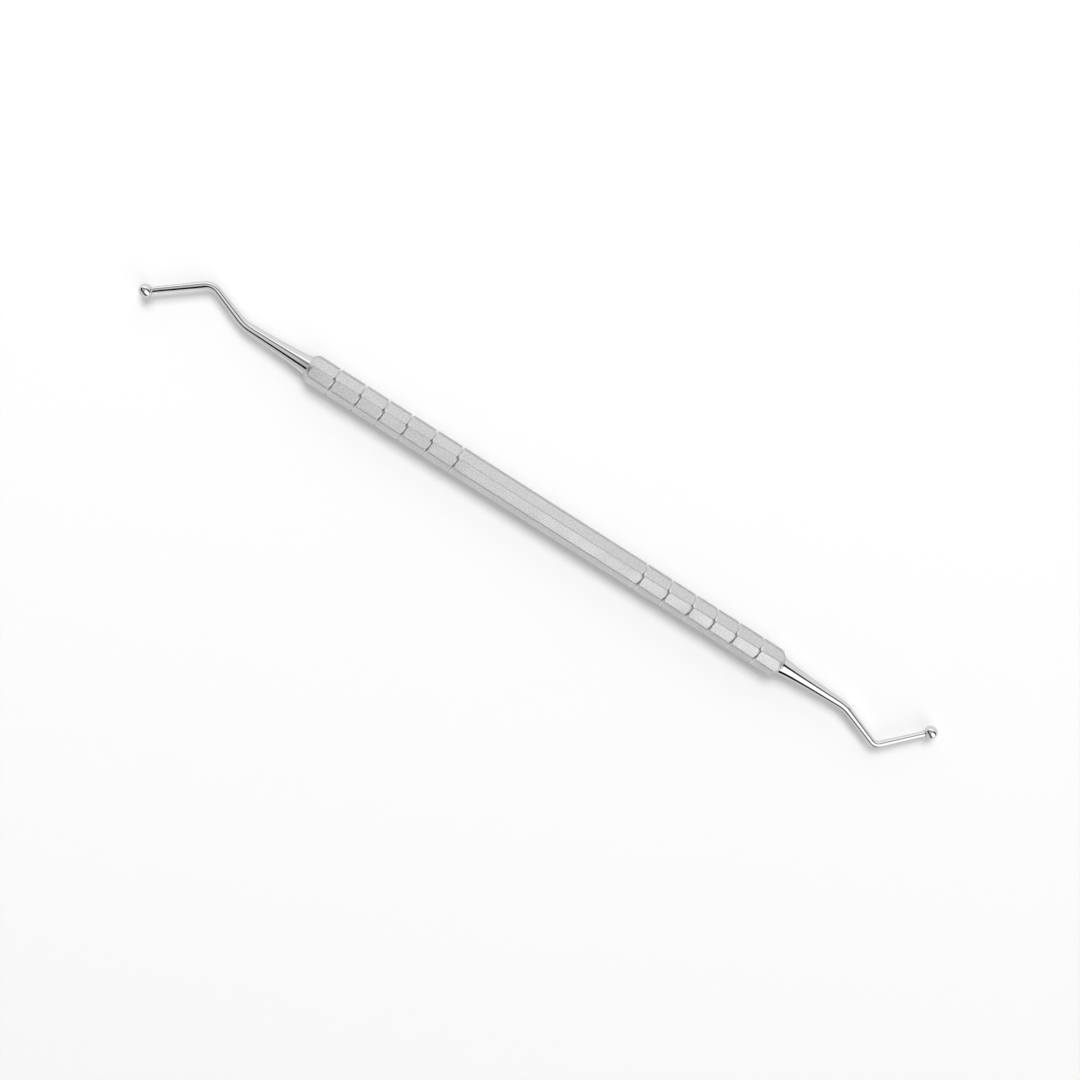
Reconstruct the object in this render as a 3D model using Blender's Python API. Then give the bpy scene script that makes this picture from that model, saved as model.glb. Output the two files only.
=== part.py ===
"""Double-ended ball stylus for clay: an octagonal steel handle with a bent shank and a polished ball at each end.

Frame: +X along the handle, +Z up. The handle lies on one of its flats, and the origin is the middle of that
flat, so everything stands on z = 0. Both shanks bend in the horizontal plane through the handle's axis.
"""

from itertools import accumulate
from math import asin, atan2, cos, exp, pi, radians, sin, sqrt, tan

import bmesh
import bpy
from mathutils import Matrix, Vector

MM = 0.001

# Handle: octagonal bar, turned to a cone at each end, with turned ring grooves near both ends.
ACROSS_FLATS = 5.5 * MM
HANDLE_LENGTH = 109.0 * MM
EDGE_BREAK = 0.18 * MM
END_FACE_DIAMETER = 4.3 * MM
END_CONE_ANGLE = 38.0
GROOVES_FROM_MIDDLE = (21.3, 27.2, 32.8, 38.0, 43.2, 48.9)
GROOVE_ROOT_DIAMETER = 5.12 * MM
GROOVE_ROOT_WIDTH = 0.10 * MM
GROOVE_FLANK_ANGLE = 45.0
TURNING_SEGMENTS = 48

# Sockets: a blind hole drilled into each end of the handle, with a drill point at its bottom.
SOCKET_DIAMETER = 3.1 * MM
SOCKET_DEPTH = 10.0 * MM
DRILL_POINT_ANGLE = 59.0
SOCKET_CHAMFER = 0.15 * MM
SOCKET_SEGMENTS = 24

# Shanks: a tang inside the socket, a flared foot against the handle, a taper, and a spigot inside the ball.
TANG_DIAMETER = 3.0 * MM
TANG_LENGTH = 9.5 * MM
SEAM = 0.08 * MM
THIN_DIAMETER = 1.0 * MM
TAPER_SWELL = 2.6 * MM
TAPER_LENGTH = 14.0 * MM
FLARE_SWELL = 0.3 * MM
FLARE_LENGTH = 1.2 * MM
SPIGOT_DIAMETER = 0.7 * MM
SPIGOT_LENGTH = 0.8 * MM
RING_SPACING = 0.8 * MM
SHANK_SIDES = 20

# Balls: each is drilled for its shank's spigot, with a flat seat for the shank's end.
BALL_DIAMETER = 2.6 * MM
SEAT_DIAMETER = 1.26 * MM
BALL_HOLE_DIAMETER = 0.76 * MM
BALL_HOLE_DEPTH = 0.9 * MM
BALL_SEGMENTS = 24
BALL_RINGS = 14

# Each end, from the handle outwards: the lengths in mm of the rod's three straight runs between the corners of
# its bends, its turns in degrees at the two bends, anticlockwise from above for an end that points along +X, and
# the radii in mm of its centre line in the two bends.
ENDS = {
    "right": {"heading": 0.0, "runs": (15.6, 10.5, 11.5), "turns": (-19.4, 66.6), "radii": (8.0, 1.7)},
    "left": {"heading": 180.0, "runs": (14.2, 9.5, 12.7), "turns": (-21.2, 59.9), "radii": (8.0, 2.8)},
}

AXIS_HEIGHT = ACROSS_FLATS / 2
HALF_HANDLE = HANDLE_LENGTH / 2


def clear_scene():
    for obj in list(bpy.data.objects):
        bpy.data.objects.remove(obj, do_unlink=True)


def steel(name, colour, roughness):
    material = bpy.data.materials.new(name)
    material.use_nodes = True
    shader = material.node_tree.nodes["Principled BSDF"]
    shader.inputs["Base Color"].default_value = (*colour, 1.0)
    shader.inputs["Metallic"].default_value = 1.0
    shader.inputs["Roughness"].default_value = roughness
    return material


def new_object(name, data, material=None, parent=None):
    obj = bpy.data.objects.new(name, data)
    bpy.context.scene.collection.objects.link(obj)
    if material:
        data.materials.append(material)
    obj.parent = parent
    return obj


def turned(name, profile, segments):
    """A closed solid of revolution about X, from (x, radius) points in order along X. Both ends are at radius 0."""
    bm = bmesh.new()
    points = [bm.verts.new((x, 0.0, radius)) for x, radius in profile]
    edges = [bm.edges.new(pair) for pair in zip(points, points[1:])]
    bmesh.ops.spin(bm, geom=points + edges, cent=(0, 0, 0), axis=(1, 0, 0), angle=2 * pi, steps=segments,
                   use_merge=True)
    bmesh.ops.remove_doubles(bm, verts=bm.verts, dist=0.001 * MM)
    bmesh.ops.recalc_face_normals(bm, faces=bm.faces)
    mesh = bpy.data.meshes.new(name)
    bm.to_mesh(mesh)
    bm.free()
    mesh.shade_smooth()
    mesh.set_sharp_from_angle(angle=radians(30))
    return mesh


def octagonal_bar(name, length, across_flats):
    """A bar along X with a flat on its underside, and its long edges broken."""
    bm = bmesh.new()
    corner_radius = across_flats / 2 / cos(pi / 8)
    stand_on_flat = Matrix.Rotation(pi / 2, 4, "Y") @ Matrix.Rotation(pi / 8, 4, "Z")
    bmesh.ops.create_cone(bm, cap_ends=True, segments=8, radius1=corner_radius, radius2=corner_radius,
                          depth=length, matrix=stand_on_flat)
    long_edges = [edge for edge in bm.edges if edge.calc_length() > length / 2]
    bmesh.ops.bevel(bm, geom=long_edges, offset=EDGE_BREAK, segments=1, affect="EDGES")
    mesh = bpy.data.meshes.new(name)
    bm.to_mesh(mesh)
    bm.free()
    return mesh


def groove_stations():
    """The x of every ring groove, from -X to +X."""
    outward = [station * MM for station in GROOVES_FROM_MIDDLE]
    return [-x for x in reversed(outward)] + outward


def turning_profile():
    """What the lathe leaves of the bar: conical ends, and a V groove with a narrow flat root at each station."""
    clear_of_bar = ACROSS_FLATS / 2 / cos(pi / 8) + 0.5 * MM
    end_radius = END_FACE_DIAMETER / 2
    cone = (clear_of_bar - end_radius) / tan(radians(END_CONE_ANGLE))
    half_root = GROOVE_ROOT_WIDTH / 2
    root_radius = GROOVE_ROOT_DIAMETER / 2
    half_mouth = half_root + (clear_of_bar - root_radius) * tan(radians(GROOVE_FLANK_ANGLE))
    profile = [(-HALF_HANDLE, 0.0), (-HALF_HANDLE, end_radius), (-HALF_HANDLE + cone, clear_of_bar)]
    for x in groove_stations():
        profile += [(x - half_mouth, clear_of_bar), (x - half_root, root_radius)]
        profile += [(x + half_root, root_radius), (x + half_mouth, clear_of_bar)]
    profile += [(HALF_HANDLE - cone, clear_of_bar), (HALF_HANDLE, end_radius), (HALF_HANDLE, 0.0)]
    return profile


def drill_profile():
    """A drill standing in the end of the handle at +X: its point, its body, and the chamfer at the mouth."""
    radius = SOCKET_DIAMETER / 2
    bottom = HALF_HANDLE - SOCKET_DEPTH
    point = radius / tan(radians(DRILL_POINT_ANGLE))
    past_face = 1.0 * MM
    return [
        (bottom - point, 0.0),
        (bottom, radius),
        (HALF_HANDLE - SOCKET_CHAMFER, radius),
        (HALF_HANDLE + past_face, radius + SOCKET_CHAMFER + past_face),
        (HALF_HANDLE + past_face, 0.0),
    ]


def cutter(name, mesh, parent):
    obj = new_object(name, mesh, parent=parent)
    obj.hide_render = True
    obj.display_type = "WIRE"
    return obj


def boolean(obj, operation, other):
    modifier = obj.modifiers.new(other.name, "BOOLEAN")
    modifier.operation = operation
    modifier.solver = "EXACT"
    modifier.object = other


def make_handle(material, axis):
    bar = octagonal_bar("handle", HANDLE_LENGTH + 2 * MM, ACROSS_FLATS)
    handle = new_object("handle", bar, material, axis)
    lathe = cutter("lathe_envelope", turned("lathe_envelope", turning_profile(), TURNING_SEGMENTS), axis)
    boolean(handle, "INTERSECT", lathe)
    for side, turn in (("right", 0.0), ("left", pi)):
        drill = cutter(f"{side}_drill", turned(f"{side}_drill", drill_profile(), SOCKET_SEGMENTS), axis)
        drill.rotation_euler.z = turn
        boolean(handle, "DIFFERENCE", drill)
    return handle


def rod_corners(end):
    """The corners of a shank's centre line, in the plane of the bends, from its foot to the middle of the ball."""
    corners = [Vector((HALF_HANDLE + SEAM, 0.0))]
    heading = 0.0
    for run, turn in zip(end["runs"], (0.0, *end["turns"])):
        heading += radians(turn)
        corners.append(corners[-1] + Vector((cos(heading), sin(heading))) * run * MM)
    return corners


def rounded(corners, radii, steps=12):
    """The corners' polyline with an arc of each radius in mm in place of each inner corner."""
    path = [corners[0]]
    for before, corner, after, radius_mm in zip(corners, corners[1:], corners[2:], radii):
        radius = radius_mm * MM
        inward = (before - corner).normalized()
        outward = (after - corner).normalized()
        half_turn = (pi - inward.angle(outward)) / 2
        centre = corner + (inward + outward).normalized() * radius / cos(half_turn)
        first = corner + inward * radius * tan(half_turn) - centre
        last = corner + outward * radius * tan(half_turn) - centre
        turn = atan2(first.x * last.y - first.y * last.x, first.dot(last))
        for step in range(steps + 1):
            path.append(centre + Matrix.Rotation(turn * step / steps, 2) @ first)
    return path + [corners[-1]]


def point_along(path, distance):
    for start, stop in zip(path, path[1:]):
        length = (stop - start).length
        if distance <= length:
            return start.lerp(stop, distance / length)
        distance -= length
    return path[-1]


def rod_diameter(distance):
    """A quick flare at the foot on top of a slow taper, at a distance from the foot along the rod."""
    taper = TAPER_SWELL * exp(-distance / TAPER_LENGTH)
    flare = FLARE_SWELL * exp(-distance / FLARE_LENGTH)
    return THIN_DIAMETER + taper + flare


def rod_stations(end):
    """(place, diameter) pairs along a shank: tang, flared foot, tapered rod, and the spigot inside the ball."""
    corners = rod_corners(end)
    path = rounded(corners, end["radii"])
    reached = list(accumulate((stop - start).length for start, stop in zip(path, path[1:])))
    bends, whole = reached[:-1], reached[-1]
    bare = whole - sqrt((BALL_DIAMETER / 2) ** 2 - (SEAT_DIAMETER / 2) ** 2) - SEAM / 2
    foot = corners[0]
    tip_run = (corners[-1] - corners[-2]).normalized()
    shoulder = point_along(path, bare)
    stations = [(foot - Vector((TANG_LENGTH + SEAM, 0.0)), TANG_DIAMETER), (foot, TANG_DIAMETER)]
    flare = [FLARE_LENGTH * share for share in (0.01, 0.25, 0.6)]
    rings = round((bare - FLARE_LENGTH) / RING_SPACING)
    even = [FLARE_LENGTH + (bare - FLARE_LENGTH) * ring / rings for ring in range(rings + 1)]
    straight = [distance for distance in even if all(abs(distance - bend) > RING_SPACING / 2 for bend in bends)]
    turned_to = flare + sorted(straight + bends)
    stations += [(point_along(path, distance), rod_diameter(distance)) for distance in turned_to]
    stations.append((shoulder + tip_run * 0.01 * MM, SPIGOT_DIAMETER))
    stations.append((shoulder + tip_run * SPIGOT_LENGTH, SPIGOT_DIAMETER))
    return stations


def make_shank(name, end, material, axis):
    """A tube of changing thickness along the rod's stations."""
    stations = rod_stations(end)
    curve = bpy.data.curves.new(name, "CURVE")
    curve.dimensions = "3D"
    curve.bevel_depth = MM
    curve.bevel_resolution = SHANK_SIDES // 2 - 2
    curve.use_fill_caps = True
    spline = curve.splines.new("POLY")
    spline.points.add(len(stations) - 1)
    for point, (place, diameter) in zip(spline.points, stations):
        point.co = (place.x, place.y, 0.0, 1.0)
        point.radius = diameter / 2 / MM
    spline.use_smooth = True
    shank = new_object(name, curve, material, axis)
    shank.rotation_euler.z = radians(end["heading"])
    return shank


def ball_profile():
    """A ball's section, from -X: bottom and wall of the spigot's hole, a flat seat round it, then the sphere."""
    radius = BALL_DIAMETER / 2
    hole = BALL_HOLE_DIAMETER / 2
    seat_angle = pi - asin(SEAT_DIAMETER / 2 / radius)
    seat = radius * cos(seat_angle)
    profile = [(seat + BALL_HOLE_DEPTH, 0.0), (seat + BALL_HOLE_DEPTH, hole), (seat, hole)]
    for ring in range(BALL_RINGS + 1):
        angle = seat_angle * (1 - ring / BALL_RINGS)
        profile.append((radius * cos(angle), radius * sin(angle)))
    return profile


def make_ball(name, end, material, axis):
    centre = rod_corners(end)[-1]
    heading = radians(end["heading"])
    ball = new_object(name, turned(name, ball_profile(), BALL_SEGMENTS), material, axis)
    ball.location = Matrix.Rotation(heading, 3, "Z") @ centre.to_3d()
    ball.rotation_euler.z = heading + radians(sum(end["turns"]))
    return ball


def main():
    clear_scene()
    satin = steel("satin_steel", (0.62, 0.62, 0.62), 0.45)
    polished = steel("polished_steel", (0.72, 0.72, 0.72), 0.12)
    axis = new_object("handle_axis", None)
    axis.location.z = AXIS_HEIGHT
    make_handle(satin, axis)
    for side, end in ENDS.items():
        make_shank(f"{side}_shank", end, polished, axis)
        make_ball(f"{side}_ball", end, polished, axis)


main()
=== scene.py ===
# %% [markdown]
# # A double-ended ball stylus for clay
#
# The tool is a bar of octagonal stainless steel with twelve turned ring grooves, a bent and tapered rod brazed
# into each end, and a polished ball on each rod. The handle is bead-blasted, so it grips and doesn't glare. The
# rods and balls are mirror-polished, so clay doesn't stick to them.
#
# Every piece here is modelled once more, finer than the CAD solid that it stands for, in the same place.

from math import atan2, cos, exp, pi, radians, sin, sqrt, tan

import bpy
from mathutils import Matrix, Vector


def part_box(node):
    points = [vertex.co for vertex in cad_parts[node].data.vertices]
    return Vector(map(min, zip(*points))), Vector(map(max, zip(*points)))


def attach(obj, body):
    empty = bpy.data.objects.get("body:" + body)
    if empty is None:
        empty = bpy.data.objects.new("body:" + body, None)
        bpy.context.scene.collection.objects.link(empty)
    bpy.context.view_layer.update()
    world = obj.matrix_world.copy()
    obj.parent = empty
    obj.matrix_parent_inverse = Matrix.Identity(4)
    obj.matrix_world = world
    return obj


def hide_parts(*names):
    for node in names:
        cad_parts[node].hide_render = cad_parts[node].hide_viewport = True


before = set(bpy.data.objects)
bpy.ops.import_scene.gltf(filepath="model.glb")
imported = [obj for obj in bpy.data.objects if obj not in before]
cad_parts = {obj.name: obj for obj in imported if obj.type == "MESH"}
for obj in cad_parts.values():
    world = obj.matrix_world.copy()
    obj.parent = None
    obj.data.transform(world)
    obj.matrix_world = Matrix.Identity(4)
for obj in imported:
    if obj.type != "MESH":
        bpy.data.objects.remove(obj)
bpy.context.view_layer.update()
MM = 0.001
print("nodes:", sorted(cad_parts))

# %% [markdown]
# ## Sizes
#
# The long sizes are read from the frame, so the fine pieces land on the CAD solids. The handle's box gives its
# length and its width across the flats. A regular octagon is wider across its corners by 1 / cos(22.5 degrees).

# %% Sizes read from the frame
handle_low, handle_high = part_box("handle")
HALF_HANDLE = handle_high.x
ACROSS_FLATS = handle_high.z - handle_low.z
AXIS = Vector((0, 0, (handle_low.z + handle_high.z) / 2))
CORNER_RADIUS = ACROSS_FLATS / 2 / cos(pi / 8)
BALL_RADIUS = (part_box("right_ball")[1].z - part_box("right_ball")[0].z) / 2
print(f"handle {2000 * HALF_HANDLE:.1f} mm long, {1000 * ACROSS_FLATS:.2f} mm across flats")
print(f"balls {2000 * BALL_RADIUS:.2f} mm across")

# %% [markdown]
# ## Working in edit mode from code
#
# An operator acts on whatever is selected, so each step starts by deselecting everything and picking what it
# needs. These helpers do what a hand would do: make one object active, pick edges or faces by a rule, and apply
# the modifiers when the shape is right.

# %% Helpers for selecting and finishing
def only(obj):
    bpy.ops.object.select_all(action="DESELECT")
    obj.select_set(True)
    bpy.context.view_layer.objects.active = obj
    return obj


def start(name):
    """Name the primitive that was just added, and turn its place and turn into mesh coordinates."""
    obj = only(bpy.context.active_object)
    obj.name = obj.data.name = name
    bpy.ops.object.transform_apply(location=True, rotation=True, scale=True)
    return obj


def pick(obj, kind, rule):
    """Select the vertices, edges or faces that a rule holds for, and nothing else, and enter edit mode."""
    only(obj)
    bpy.ops.object.mode_set(mode="EDIT")
    bpy.ops.mesh.select_mode(type={"vertices": "VERT", "edges": "EDGE", "polygons": "FACE"}[kind])
    bpy.ops.mesh.select_all(action="DESELECT")
    bpy.ops.object.mode_set(mode="OBJECT")
    for element in getattr(obj.data, kind):
        element.select = rule(element)
    bpy.ops.object.mode_set(mode="EDIT")


def done():
    bpy.ops.object.mode_set(mode="OBJECT")


def ends_of(obj, edge):
    return [obj.data.vertices[index].co for index in edge.vertices]


def cut_with(obj, cutter, operation="DIFFERENCE"):
    """Apply an exact Boolean with a cutter, and remove the cutter."""
    only(obj)
    modifier = obj.modifiers.new("cut", "BOOLEAN")
    modifier.operation = operation
    modifier.solver = "EXACT"
    modifier.object = cutter
    bpy.ops.object.modifier_apply(modifier=modifier.name)
    bpy.data.objects.remove(cutter, do_unlink=True)


def smooth(obj, degrees):
    only(obj)
    bpy.ops.object.shade_smooth_by_angle(angle=radians(degrees))


# %% [markdown]
# ## The octagonal bar
#
# The handle starts as drawn octagonal bar stock. A cylinder with eight sides is that bar, turned by half a side
# so that it lies on a flat. Drawn bar never has knife edges, so its eight long edges are broken with a small
# round bevel. That bevel is what draws the thin line along each edge of the handle.

# %% Bar stock
EDGE_BREAK = 0.18 * MM
bpy.ops.mesh.primitive_cylinder_add(vertices=8, radius=CORNER_RADIUS, depth=2 * HALF_HANDLE, location=AXIS,
                                    rotation=(0, pi / 2, 0))
handle = start("octagonal_handle")
pick(handle, "vertices", lambda vertex: True)
bpy.ops.transform.rotate(value=pi / 8, orient_axis="X", center_override=AXIS)
done()
pick(handle, "edges", lambda edge: (ends_of(handle, edge)[0] - ends_of(handle, edge)[1]).length > HALF_HANDLE)
bpy.ops.mesh.bevel(offset=EDGE_BREAK, segments=4)
done()
print("bar has", len(handle.data.polygons), "faces")

# %% [markdown]
# ## Turning the ends
#
# In the lathe the ends of the bar are turned down to cones. The turned shape is round, so where it meets the
# flats it leaves the curved outline that a hexagonal pencil shows when it is sharpened. A round blank with a
# cone extruded at each end is made first, and the bar keeps only what is inside it.

# %% Conical ends
END_FACE_RADIUS = 2.15 * MM
CONE_ANGLE = radians(38)
TURNING_SIDES = 128
BLANK_ALLOWANCE = 0.4 * MM
blank_radius = CORNER_RADIUS + BLANK_ALLOWANCE
cone_length = (blank_radius - END_FACE_RADIUS) / tan(CONE_ANGLE)
bpy.ops.mesh.primitive_cylinder_add(vertices=TURNING_SIDES, radius=blank_radius, location=AXIS,
                                    depth=2 * (HALF_HANDLE - cone_length), rotation=(0, pi / 2, 0))
blank = start("lathe_blank")
for side in (-1, 1):
    pick(blank, "polygons", lambda face: face.normal.x * side > 0.99)
    bpy.ops.mesh.extrude_region_move(TRANSFORM_OT_translate={"value": (side * cone_length, 0, 0)})
    shrink = END_FACE_RADIUS / blank_radius
    bpy.ops.transform.resize(value=(1, shrink, shrink), center_override=AXIS)
    done()
cut_with(handle, blank, "INTERSECT")
print(f"cones {1000 * cone_length:.2f} mm long on the blank")

# %% [markdown]
# ## The ring grooves
#
# Six grooves near each end give the fingers something to hold. Each is cut by a pointed lathe tool, so its
# section is a V with a small round root. A torus with four sides to its section is that V: one of its corners
# points inwards. The corner gets a small bevel for the tool's nose, the ring is copied to each station, and all
# the copies are cut out of the bar at once. The grooves are shallow on the flats and deep at the corners.

# %% Groove cutter and its copies
GROOVES_FROM_MIDDLE = (21.3, 27.2, 32.8, 38.0, 43.2, 48.9)
GROOVE_STATIONS = [side * x * MM for side in (-1, 1) for x in GROOVES_FROM_MIDDLE]
GROOVE_ROOT_RADIUS = 2.56 * MM
TOOL_REACH = 0.7 * MM
NOSE_BREAK = 0.06 * MM
LOST_TO_NOSE = 0.02 * MM
bpy.ops.mesh.primitive_torus_add(location=AXIS, rotation=(0, pi / 2, 0), major_segments=TURNING_SIDES,
                                 minor_segments=4, major_radius=GROOVE_ROOT_RADIUS - LOST_TO_NOSE + TOOL_REACH,
                                 minor_radius=TOOL_REACH)
groove_tool = start("groove_tool")


def on_inner_corner(edge):
    return all((point - AXIS).length < GROOVE_ROOT_RADIUS for point in ends_of(groove_tool, edge))


pick(groove_tool, "edges", on_inner_corner)
bpy.ops.mesh.bevel(offset=NOSE_BREAK, segments=3)
done()
copies = []
for station in GROOVE_STATIONS:
    copy = groove_tool.copy()
    copy.data = groove_tool.data.copy()
    bpy.context.scene.collection.objects.link(copy)
    copy.location.x = station
    copies.append(copy)
bpy.data.objects.remove(groove_tool, do_unlink=True)
only(copies[0])
for copy in copies[1:]:
    copy.select_set(True)
bpy.ops.object.join()
cut_with(handle, start("all_grooves"))
print(len(GROOVE_STATIONS), "grooves cut,", len(handle.data.polygons), "faces")

# %% [markdown]
# ## Sockets and soft edges
#
# Each end of the bar is drilled for the tang of its rod. A drill leaves a round hole with a cone at its bottom:
# a cylinder whose far cap is extruded and drawn in to a point. Bead blasting then rounds every edge that the
# lathe and the drill left, so a narrow Bevel modifier goes over all edges sharper than 25 degrees. A Weighted
# Normal modifier then keeps the shading of the big flats flat, right up to their rounded edges.

# %% Drill both ends and soften the edges
SOCKET_RADIUS = 1.55 * MM
SOCKET_DEPTH = 10.0 * MM
SOCKET_SIDES = 48
DRILL_HALF_ANGLE = radians(59)
DRILL_POINT = SOCKET_RADIUS / tan(DRILL_HALF_ANGLE)
PAST_FACE = 1.0 * MM
DOUBLES_WITHIN = 0.002 * MM
BLASTED_EDGE = 0.025 * MM
for side in (-1, 1):
    middle = side * (HALF_HANDLE + (PAST_FACE - SOCKET_DEPTH) / 2)
    bpy.ops.mesh.primitive_cylinder_add(vertices=SOCKET_SIDES, radius=SOCKET_RADIUS,
                                        depth=SOCKET_DEPTH + PAST_FACE,
                                        location=AXIS + Vector((middle, 0, 0)), rotation=(0, pi / 2, 0))
    drill = start("drill")
    pick(drill, "polygons", lambda face: face.normal.x * side < -0.99)
    bpy.ops.mesh.extrude_region_move(TRANSFORM_OT_translate={"value": (-side * DRILL_POINT, 0, 0)})
    bpy.ops.mesh.merge(type="CENTER")
    done()
    cut_with(handle, drill)
pick(handle, "vertices", lambda vertex: True)
bpy.ops.mesh.remove_doubles(threshold=DOUBLES_WITHIN)
done()
only(handle)
blasting = handle.modifiers.new("blasted_edges", "BEVEL")
blasting.width = BLASTED_EDGE
blasting.segments = 2
blasting.limit_method = "ANGLE"
blasting.angle_limit = radians(25)
bpy.ops.object.modifier_apply(modifier=blasting.name)
smooth(handle, 35)
flats = handle.modifiers.new("flat_faces_stay_flat", "WEIGHTED_NORMAL")
flats.weight = 100
flats.keep_sharp = True
bpy.ops.object.modifier_apply(modifier=flats.name)
print("handle finished with", len(handle.data.polygons), "faces")

# %% [markdown]
# ## The rods
#
# A rod is turned straight first and bent afterwards, and that is also the easy way to model it. Its diameter is a
# slow taper with a quick flare on top of it at the foot, where it meets the handle. The turned rod is grown from
# one circle: extrude a short step, resize to the diameter there, and repeat. The tang that sits in the handle and
# the spigot that sits in the ball are the first and the last steps.

# %% A rod's thickness along its length
WIRE_DIAMETER = 1.0 * MM
TAPER_SWELL, TAPER_LENGTH = 2.6 * MM, 14 * MM
FLARE_SWELL, FLARE_LENGTH = 0.3 * MM, 1.2 * MM
TANG_DIAMETER = 3.0 * MM
TANG_TAPER = 0.02 * MM
TANG_LENGTH = 9.5 * MM
SEAM = 0.08 * MM
SPIGOT_DIAMETER = 0.7 * MM
SPIGOT_LENGTH = 0.8 * MM
SEAT_RADIUS = 0.63 * MM
SEAT_FROM_CENTRE = sqrt(BALL_RADIUS ** 2 - SEAT_RADIUS ** 2)
FILLET = 0.12 * MM
FILLET_SHARES = (0.0, 0.35, 0.65, 0.85, 1.0)
FILLET_SWELL = 1.6 * FILLET
FOOT_EDGE = 0.06 * MM
EDGE_RINGS = (0.01 * MM, 0.04 * MM, 0.08 * MM)
STEP = 0.2 * MM
FINE_STEP, FINE_LENGTH = STEP / 2, 2 * MM


def rod_diameter(distance):
    """Diameter at a distance from the foot: the thin wire, its taper, and the flare at the foot."""
    taper = TAPER_SWELL * exp(-distance / TAPER_LENGTH)
    flare = FLARE_SWELL * exp(-distance / FLARE_LENGTH)
    return WIRE_DIAMETER + taper + flare


def turning_steps(bare):
    """(x, diameter) steps of a straight rod whose foot is at x = 0 and whose end face is at x = bare."""
    near, next_ring, x = EDGE_RINGS
    widest_tang = TANG_DIAMETER + TANG_TAPER
    steps = [(-TANG_LENGTH - SEAM, TANG_DIAMETER), (-TANG_LENGTH, widest_tang), (0.0, widest_tang)]
    steps += [(near, rod_diameter(0) - FOOT_EDGE), (next_ring, rod_diameter(0))]
    while x < bare - FILLET:
        steps.append((x, rod_diameter(x)))
        x += FINE_STEP if x < FINE_LENGTH else STEP
    for share in FILLET_SHARES:
        x = bare - FILLET * (1 - share)
        steps.append((x, rod_diameter(x) + FILLET_SWELL * (1 - sqrt(1 - share ** 2))))
    steps += [(bare + near, SPIGOT_DIAMETER), (bare + SPIGOT_LENGTH, SPIGOT_DIAMETER)]
    return steps


print(f"foot {1000 * rod_diameter(0):.2f} mm, 6 mm out {1000 * rod_diameter(6 * MM):.2f} mm across")


# %% Turning a straight rod
ROD_SIDES = 48


def turned_rod(name, steps):
    first_x, first_diameter = steps[0]
    bpy.ops.mesh.primitive_circle_add(vertices=ROD_SIDES, radius=first_diameter / 2, fill_type="NGON",
                                      location=(first_x, 0, 0), rotation=(0, pi / 2, 0))
    rod = start(name)
    bpy.ops.object.mode_set(mode="EDIT")
    bpy.ops.mesh.select_all(action="SELECT")
    for (x, diameter), (next_x, next_diameter) in zip(steps, steps[1:]):
        bpy.ops.mesh.extrude_region_move(TRANSFORM_OT_translate={"value": (next_x - x, 0, 0)})
        change = next_diameter / diameter
        bpy.ops.transform.resize(value=(1, change, change), center_override=(next_x, 0, 0))
    bpy.ops.mesh.select_all(action="SELECT")
    bpy.ops.mesh.normals_make_consistent(inside=False)
    bpy.ops.object.mode_set(mode="OBJECT")
    return rod


# %% [markdown]
# ## Bending the rods
#
# The straight rod is bent round two formers, first gently one way and then sharply back. A Curve modifier does
# the same: the rod's X axis is laid along a path of straight runs joined by arcs, and its length stays the same.
# The two ends are the same form turned half a turn, bent by hand, so their runs and angles differ a little.

# %% Where the bends are: headings and turns in degrees, runs and radii in mm
ENDS = {
    "right": {"heading": 0.0, "runs": (15.6, 10.5, 11.5), "turns": (-19.4, 66.6), "radii": (8.0, 1.7)},
    "left": {"heading": 180.0, "runs": (14.2, 9.5, 12.7), "turns": (-21.2, 59.9), "radii": (8.0, 2.8)},
}


def rod_corners(end):
    """Corners of the bent centre line from the foot to the middle of the ball, for an end that points along +X."""
    corners = [Vector((HALF_HANDLE + SEAM, 0.0))]
    heading = 0.0
    for run, turn in zip(end["runs"], (0.0, *end["turns"])):
        heading += radians(turn)
        corners.append(corners[-1] + Vector((cos(heading), sin(heading))) * run * MM)
    return corners


def bent_path(corners, radii, arc_steps=32):
    path = [corners[0]]
    for before, corner, after, radius_mm in zip(corners, corners[1:], corners[2:], radii):
        radius = radius_mm * MM
        inward = (before - corner).normalized()
        outward = (after - corner).normalized()
        half_turn = (pi - inward.angle(outward)) / 2
        centre = corner + (inward + outward).normalized() * radius / cos(half_turn)
        first = corner + inward * radius * tan(half_turn) - centre
        last = corner + outward * radius * tan(half_turn) - centre
        turn = atan2(first.x * last.y - first.y * last.x, first.dot(last))
        path += [centre + Matrix.Rotation(turn * step / arc_steps, 2) @ first for step in range(arc_steps + 1)]
    return path + [corners[-1]]


for name, end in ENDS.items():
    reach = rod_corners(end)[-1]
    print(f"{name} ball is {1000 * reach.x:.1f} mm out and {1000 * reach.y:.1f} mm to the side")


# %% Turn and bend both rods
def bend_along(rod, path, heading):
    """Lay a straight rod along a path with a Curve modifier, then turn it to its end of the handle."""
    route = bpy.data.curves.new("bending_path", "CURVE")
    route.dimensions = "3D"
    route.twist_mode = "Z_UP"
    spline = route.splines.new("POLY")
    spline.points.add(len(path) - 1)
    for point, place in zip(spline.points, path):
        point.co = (place.x, place.y, 0.0, 1.0)
    guide = bpy.data.objects.new("bending_path", route)
    bpy.context.scene.collection.objects.link(guide)
    only(rod)
    modifier = rod.modifiers.new("bend", "CURVE")
    modifier.object = guide
    modifier.deform_axis = "POS_X"
    bpy.ops.object.modifier_apply(modifier=modifier.name)
    bpy.data.objects.remove(guide, do_unlink=True)
    rod.matrix_world = Matrix.Translation(AXIS) @ Matrix.Rotation(heading, 4, "Z")
    only(rod)
    bpy.ops.object.transform_apply(location=True, rotation=True, scale=True)


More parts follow.
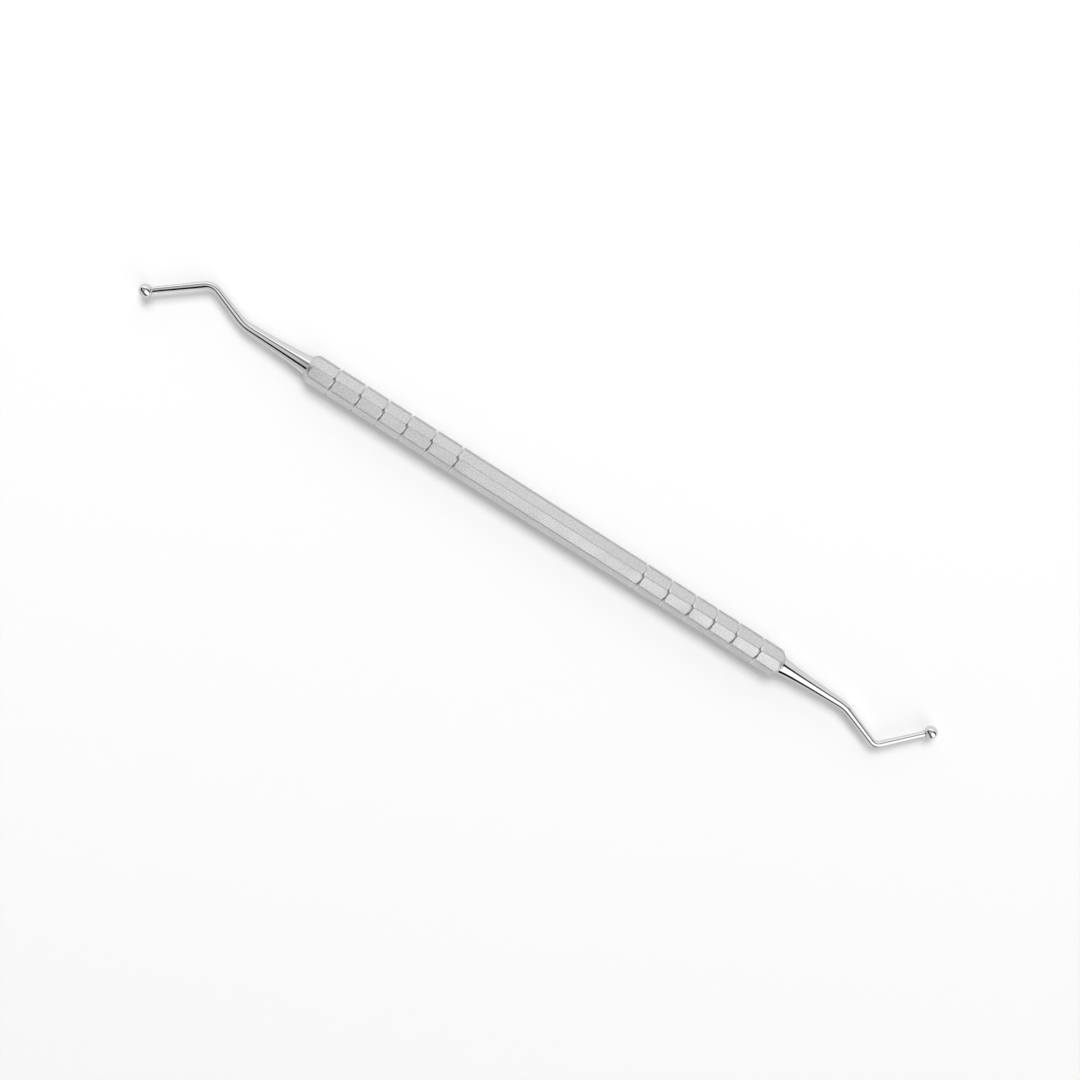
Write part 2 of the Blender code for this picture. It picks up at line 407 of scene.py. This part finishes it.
rods = {}
for name, end in ENDS.items():
    path = bent_path(rod_corners(end), end["radii"])
    whole = sum((stop - begin).length for begin, stop in zip(path, path[1:]))
    bare = whole - SEAT_FROM_CENTRE - SEAM / 2
    rod = turned_rod(f"{name}_rod", turning_steps(bare))
    bend_along(rod, path, radians(end["heading"]))
    smooth(rod, 40)
    rods[name] = rod
    print(f"{name} rod is {1000 * bare:.1f} mm long outside the handle, {len(rod.data.polygons)} faces")

# %% [markdown]
# ## The balls
#
# The balls are hard polished steel balls. Each is ground flat where it sits on its rod and drilled for the
# spigot. A sphere is laid with its pole towards the rod, bisected at the seat, and the new flat face is inset to
# the size of the hole and pushed in. Bisect treats points near its plane as lying on it, so on a part this small
# its threshold has to be small too.

# %% Ball with a seat and a hole
HOLE_RADIUS = 0.38 * MM
HOLE_DEPTH = 0.9 * MM
ON_THE_PLANE = 0.001 * MM
balls = {}
for name, end in ENDS.items():
    bpy.ops.mesh.primitive_uv_sphere_add(segments=96, ring_count=64, radius=BALL_RADIUS, rotation=(0, pi / 2, 0))
    ball = start(f"{name}_polished_ball")
    pick(ball, "polygons", lambda face: True)
    bpy.ops.mesh.bisect(plane_co=(-SEAT_FROM_CENTRE, 0, 0), plane_no=(1, 0, 0), use_fill=True, clear_inner=True,
                        threshold=ON_THE_PLANE)
    done()
    pick(ball, "polygons", lambda face: face.normal.x < -0.999)
    bpy.ops.mesh.inset(thickness=SEAT_RADIUS - HOLE_RADIUS)
    bpy.ops.mesh.extrude_region_move(TRANSFORM_OT_translate={"value": (HOLE_DEPTH, 0, 0)})
    done()
    centre = rod_corners(end)[-1].to_3d()
    around = Matrix.Rotation(radians(end["heading"]), 4, "Z")
    ball.matrix_world = (Matrix.Translation(AXIS + around @ centre) @ around
                         @ Matrix.Rotation(radians(sum(end["turns"])), 4, "Z"))
    only(ball)
    bpy.ops.object.transform_apply(location=True, rotation=True, scale=True)
    smooth(ball, 30)
    balls[name] = ball
    print(f"{name} ball has {len(ball.data.polygons)} faces")

# %% [markdown]
# ## Satin steel
#
# Bead blasting leaves steel covered in tiny round dents a fraction of a millimetre apart. Each dent tilts the
# surface a little, so the handle is grey and soft from far off and sparkles from near by. A fine noise in Object
# coordinates makes the dents, through Bump and the colour, and a broad noise makes the roughness uneven, as
# blasting by hand does. Dents shade one another at a glancing angle, so the edge tint is low.

# %% Satin steel, bead-blasted
def new_steel(name, colour, roughness):
    material = bpy.data.materials.new(name)
    material.use_nodes = True
    nodes = material.node_tree.nodes
    shader = nodes["Principled BSDF"]
    shader.inputs["Base Color"].default_value = (*colour, 1)
    shader.inputs["Metallic"].default_value = 1.0
    shader.inputs["Roughness"].default_value = roughness
    return material, nodes, material.node_tree.links, shader


def noise(nodes, links, coordinates, scale, detail=2.0, roughness=0.5):
    texture = nodes.new("ShaderNodeTexNoise")
    texture.inputs["Scale"].default_value = scale
    texture.inputs["Detail"].default_value = detail
    texture.inputs["Roughness"].default_value = roughness
    links.new(coordinates, texture.inputs["Vector"])
    return texture


def between(nodes, links, factor, low, high, from_low=0.3, from_high=0.7):
    """Map a noise's middle range onto low..high."""
    spread = nodes.new("ShaderNodeMapRange")
    spread.inputs["From Min"].default_value = from_low
    spread.inputs["From Max"].default_value = from_high
    spread.inputs["To Min"].default_value = low
    spread.inputs["To Max"].default_value = high
    links.new(factor, spread.inputs["Value"])
    return spread.outputs["Result"]


def grey_between(nodes, links, factor, dark, light):
    ramp = nodes.new("ShaderNodeValToRGB")
    ramp.color_ramp.elements[0].position = 0.3
    ramp.color_ramp.elements[0].color = (dark, dark, dark, 1)
    ramp.color_ramp.elements[1].position = 0.7
    ramp.color_ramp.elements[1].color = (light, light, light, 1)
    links.new(factor, ramp.inputs["Fac"])
    return ramp.outputs["Color"]


def bumped(nodes, links, height, distance, strength, below=None):
    bump = nodes.new("ShaderNodeBump")
    bump.inputs["Distance"].default_value = distance
    bump.inputs["Strength"].default_value = strength
    links.new(height, bump.inputs["Height"])
    if below:
        links.new(below, bump.inputs["Normal"])
    return bump.outputs["Normal"]


DENTS_PER_METRE, CLOUDS_PER_METRE = 4200, 260
DENT_DEPTH = 0.03 * MM
SATIN_EDGE_TINT = (0.5, 0.5, 0.5, 1)
satin, nodes, links, shader = new_steel("satin_steel", (0.55, 0.55, 0.55), 0.42)
shader.inputs["Specular Tint"].default_value = SATIN_EDGE_TINT
place = nodes.new("ShaderNodeTexCoord").outputs["Object"]
dents = noise(nodes, links, place, DENTS_PER_METRE, detail=2.0, roughness=0.6)
cloud = noise(nodes, links, place, CLOUDS_PER_METRE, detail=3.0)
links.new(grey_between(nodes, links, dents.outputs["Fac"], 0.54, 0.80), shader.inputs["Base Color"])
links.new(between(nodes, links, cloud.outputs["Fac"], 0.36, 0.48), shader.inputs["Roughness"])
links.new(bumped(nodes, links, dents.outputs["Fac"], DENT_DEPTH, 0.6), shader.inputs["Normal"])
print("satin steel:", len(nodes), "nodes")

# %% [markdown]
# ## Bright-turned steel
#
# The grooves are turned last, into the blasted bar, so their walls are smoother than the flats. Two walls at a
# right angle mirror each other, and they mirror the dark parts of the room too, so a groove reads as a thin dark
# line. The tool leaves it slightly uneven, which a fine noise in the roughness and the bump stands for.

# %% Bright-turned steel
TOOL_MARKS_PER_METRE = 12000
TOOL_MARK_DEPTH = 0.002 * MM
bright, nodes, links, shader = new_steel("bright_turned_steel", (0.64, 0.64, 0.64), 0.28)
place = nodes.new("ShaderNodeTexCoord").outputs["Object"]
tool_marks = noise(nodes, links, place, TOOL_MARKS_PER_METRE, detail=1.0)
links.new(between(nodes, links, tool_marks.outputs["Fac"], 0.24, 0.32), shader.inputs["Roughness"])
links.new(bumped(nodes, links, tool_marks.outputs["Fac"], TOOL_MARK_DEPTH, 0.3), shader.inputs["Normal"])
print("bright steel:", len(nodes), "nodes")

# %% [markdown]
# ## Polished steel
#
# The rods and balls are buffed to a mirror. A buffing wheel still leaves faint hairlines, and the surface under
# them is a little wavy, which bends the lines of reflected light. Steel reflects less at a glancing angle than
# the plain formula gives, so the edge tint is lowered, which draws the outline of each rod.

# %% Polished steel
POLISH_COLOUR = (0.70, 0.70, 0.70)
EDGE_TINT = (0.6, 0.6, 0.6, 1)
HAIRLINES_PER_METRE, WAVES_PER_METRE = 9000, 500
WAVE_DEPTH = 0.02 * MM
polished, nodes, links, shader = new_steel("polished_steel", POLISH_COLOUR, 0.03)
shader.inputs["Specular Tint"].default_value = EDGE_TINT
place = nodes.new("ShaderNodeTexCoord").outputs["Object"]
hairlines = noise(nodes, links, place, HAIRLINES_PER_METRE, detail=2.0)
waves = noise(nodes, links, place, WAVES_PER_METRE, detail=1.0)
links.new(between(nodes, links, hairlines.outputs["Fac"], 0.02, 0.045), shader.inputs["Roughness"])
links.new(bumped(nodes, links, waves.outputs["Fac"], WAVE_DEPTH, 0.25), shader.inputs["Normal"])
print("polished steel:", len(nodes), "nodes")

# %% Give the finishes to the pieces
WALLS_WITHIN = 0.5 * MM
ROOT_WITHIN = 0.06 * MM


def in_a_groove(face):
    """Whether a face of the handle is a wall or the root of a groove."""
    distance = min(abs(face.center.x - station) for station in GROOVE_STATIONS)
    on_wall = distance < WALLS_WITHIN and abs(face.normal.x) > 0.5
    return on_wall or distance < ROOT_WITHIN


def give(piece, *finishes):
    piece.data.materials.clear()
    for finish in finishes:
        piece.data.materials.append(finish)


give(handle, satin, bright)
for piece in (*rods.values(), *balls.values()):
    give(piece, polished)
for face in handle.data.polygons:
    face.material_index = int(in_a_groove(face))
print(sum(face.material_index for face in handle.data.polygons), "faces of the handle are bright")

# %% [markdown]
# ## Standing for the CAD nodes
#
# Each fine piece rides on the one rigid body and stands for its CAD node, which is hidden. The table also names
# each piece's steel.

# %% Tie the pieces to the frame
STANDS_FOR = {
    handle: ("handle", "satin_steel"),
    rods["left"]: ("left_shank", "polished_steel"),
    rods["right"]: ("right_shank", "polished_steel"),
    balls["left"]: ("left_ball", "polished_steel"),
    balls["right"]: ("right_ball", "polished_steel"),
}
for piece, (node, slot) in STANDS_FOR.items():
    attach(piece, "root")
    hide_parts(node)
    print(piece.name, "stands for", node)

# %% [markdown]
# ## The table and the camera
#
# The tool lies on a plain pale table, and the camera looks down on it, tilted a little to the side of the ends
# that bend towards +Y.

# %% Table
TABLE_SIZE = 4.0
TABLE_BELOW = 0.02 * MM
CARD_COLOUR = (0.725, 0.725, 0.725, 1)
bpy.ops.mesh.primitive_plane_add(size=TABLE_SIZE, location=(0, 0, -TABLE_BELOW))
table = bpy.context.active_object
table.name = "pale_table"
pale = bpy.data.materials.new("pale_card")
pale.use_nodes = True
card = pale.node_tree.nodes["Principled BSDF"]
card.inputs["Base Color"].default_value = CARD_COLOUR
card.inputs["Roughness"].default_value = 0.9
table.data.materials.append(pale)

# %% Camera, a little off the vertical
TOWARDS_CAMERA = Vector((-0.1363, 0.225, 0.0))
TOWARDS_CAMERA.z = sqrt(1 - TOWARDS_CAMERA.length_squared)
CAMERA_DISTANCE = 368 * MM
HANDLE_SLOPE = radians(32.3)
LENS_MM, SENSOR_MM = 63.33, 36.0
NEAREST_SEEN = 0.01
ABOVE_CENTRE = 4.16 * MM
RIGHT_OF_CENTRE = 1.66 * MM
along = (Vector((1, 0, 0)) - TOWARDS_CAMERA * TOWARDS_CAMERA.x).normalized()
across = TOWARDS_CAMERA.cross(along)
right = cos(HANDLE_SLOPE) * along + sin(HANDLE_SLOPE) * across
up = cos(HANDLE_SLOPE) * across - sin(HANDLE_SLOPE) * along
bpy.ops.object.camera_add()
camera = bpy.context.active_object
camera.name = "overhead_camera"
camera.data.lens = LENS_MM
camera.data.sensor_width = SENSOR_MM
camera.data.clip_start = NEAREST_SEEN
spot = AXIS + TOWARDS_CAMERA * CAMERA_DISTANCE - right * RIGHT_OF_CENTRE - up * ABOVE_CENTRE
camera.matrix_world = Matrix.Translation(spot) @ Matrix((right, up, TOWARDS_CAMERA)).transposed().to_4x4()
bpy.context.scene.camera = camera
print("camera", [round(value, 3) for value in spot])

# %% [markdown]
# ## The room that the steel mirrors
#
# Polished steel has no look of its own: every line along the rods is something in the room. So the room is drawn
# by direction, in the world's nodes. A long soft box hangs over the tool, brighter towards +X. Behind it, towards
# +Y, stand a bright panel and a wall, and in front a grey wall. Dark gaps between them draw the dark lines. Each
# gap lies along a plane through the tool, so it is given by the angle from that plane. The gap in front follows
# the higher of two planes, and a third gap marks the +X end of the soft box.

# %% Helpers for a room drawn by direction
world = bpy.data.worlds.new("studio")
bpy.context.scene.world = world
world.use_nodes = True
nodes, links = world.node_tree.nodes, world.node_tree.links
nodes.clear()
looking = nodes.new("ShaderNodeTexCoord").outputs["Generated"]
LEFT_PART, RIGHT_PART = -0.28, 0.3


def wire(socket, value):
    """Set a socket to a number, or link it to another socket."""
    if isinstance(value, bpy.types.NodeSocket):
        links.new(value, socket)
    else:
        socket.default_value = value


def arithmetic(operation, first, second):
    node = nodes.new("ShaderNodeMath")
    node.operation = operation
    wire(node.inputs[0], first)
    wire(node.inputs[1], second)
    return node.outputs["Value"]


def from_plane(normal):
    """Sine of the angle of the direction looked in from the plane across a normal."""
    node = nodes.new("ShaderNodeVectorMath")
    node.operation = "DOT_PRODUCT"
    links.new(looking, node.inputs[0])
    node.inputs[1].default_value = Vector(normal).normalized()
    return node.outputs["Value"]


def plane_through(first, second):
    """Normal, on the +Y side, of the plane through the tool and two directions."""
    normal = Vector(first).cross(Vector(second)).normalized()
    return -normal if normal.y < 0 else normal


def by_angle(sine, stops):
    """A value that follows (angle in degrees, value) stops from -90 to 90."""
    ramp = nodes.new("ShaderNodeValToRGB")
    elements = ramp.color_ramp.elements
    while len(elements) < len(stops):
        elements.new(0.5)
    for element, (angle, value) in zip(elements, stops):
        element.position = 0.5 + 0.5 * sin(radians(angle))
        element.color = (value, value, value, 1)
    links.new(arithmetic("ADD", arithmetic("MULTIPLY", sine, 0.5), 0.5), ramp.inputs["Fac"])
    return ramp.outputs["Color"]


def beyond(sine, begin, end):
    """0 before one angle from a plane and 1 after the other."""
    return by_angle(sine, [(-90, 0), (begin, 0), (end, 1), (90, 1)])


def along_room(left, right):
    """A value that grows or falls from the -X part of the room to the +X part."""
    return between(nodes, links, from_plane((1, 0, 0)), left, right, from_low=LEFT_PART, from_high=RIGHT_PART)


def either(factor, here, there):
    blend = nodes.new("ShaderNodeMix")
    blend.data_type = "FLOAT"
    for socket, value in zip((blend.inputs[0], blend.inputs[2], blend.inputs[3]), (factor, here, there)):
        wire(socket, value)
    return blend.outputs[0]


def gap(sine, begin, end, depth):
    """1 outside a band of angles from a plane, and darker by a depth inside it."""
    band = by_angle(sine, [(-90, 0), (begin - 1, 0), (begin, 1), (end, 1), (end + 1, 0), (90, 0)])
    return arithmetic("SUBTRACT", 1.0, arithmetic("MULTIPLY", band, depth))


# %% Soft box, panel, walls and the gaps between them
rear = from_plane(plane_through((0.47, 0.88, 1), (-0.176, 0.80, 1)))
front_slanting = from_plane(plane_through((0.47, -1.05, 1), (-0.176, -0.47, 1)))
front_level = from_plane((0, 1, 0.47))
front = arithmetic("MAXIMUM", front_slanting, front_level)
end_of_box = from_plane((1, 0, 0))

soft_box = along_room(0.6, 1.6)
panel, rear_wall = along_room(1.6, 0.95), along_room(1.0, 0.92)
FRONT_WALL = 0.7
rear_side = either(beyond(rear, 25, 33), panel, rear_wall)
over_tool = either(beyond(rear, -1, 1), soft_box, rear_side)
room = either(beyond(front, -1, 1), FRONT_WALL, over_tool)

rear_gap = gap(rear, -12, 12, along_room(0.65, 0.97))
front_gap = gap(front, -15, 9, 0.99)
end_gap = gap(end_of_box, 37, 42, 0.5)
for dark in (rear_gap, front_gap, end_gap):
    room = arithmetic("MULTIPLY", room, dark)
background = nodes.new("ShaderNodeBackground")
background.inputs["Color"].default_value = (1, 1, 1, 1)
links.new(room, background.inputs["Strength"])
links.new(background.outputs["Background"], nodes.new("ShaderNodeOutputWorld").inputs["Surface"])
print("room:", len(nodes), "nodes")

# %% [markdown]
# ## The key light
#
# One soft lamp behind the tool, towards +Y, throws the soft shadow on the table in front of it. Its size sets how
# soft that shadow is. It is kept out of the reflections, because the room above already stands for what the steel
# mirrors.

# %% Key light
KEY_DIRECTION = Vector((-0.283, 0.673, 1.0)).normalized()
KEY_DISTANCE = 1.8
KEY_SHARE = 0.70
KEY_LENGTH, KEY_WIDTH = 0.80, 0.70
bpy.ops.object.light_add(type="AREA", location=AXIS + KEY_DIRECTION * KEY_DISTANCE)
key = bpy.context.active_object
key.name = "key_light"
key.data.shape = "RECTANGLE"
key.data.size, key.data.size_y = KEY_LENGTH, KEY_WIDTH
key.data.energy = KEY_SHARE * (pi * KEY_DISTANCE) ** 2 / KEY_DIRECTION.z
key.rotation_euler = KEY_DIRECTION.to_track_quat("Z", "Y").to_euler()
key.visible_glossy = False
bpy.context.scene.view_settings.view_transform = "Standard"
print(f"key light {key.data.energy:.1f} W")
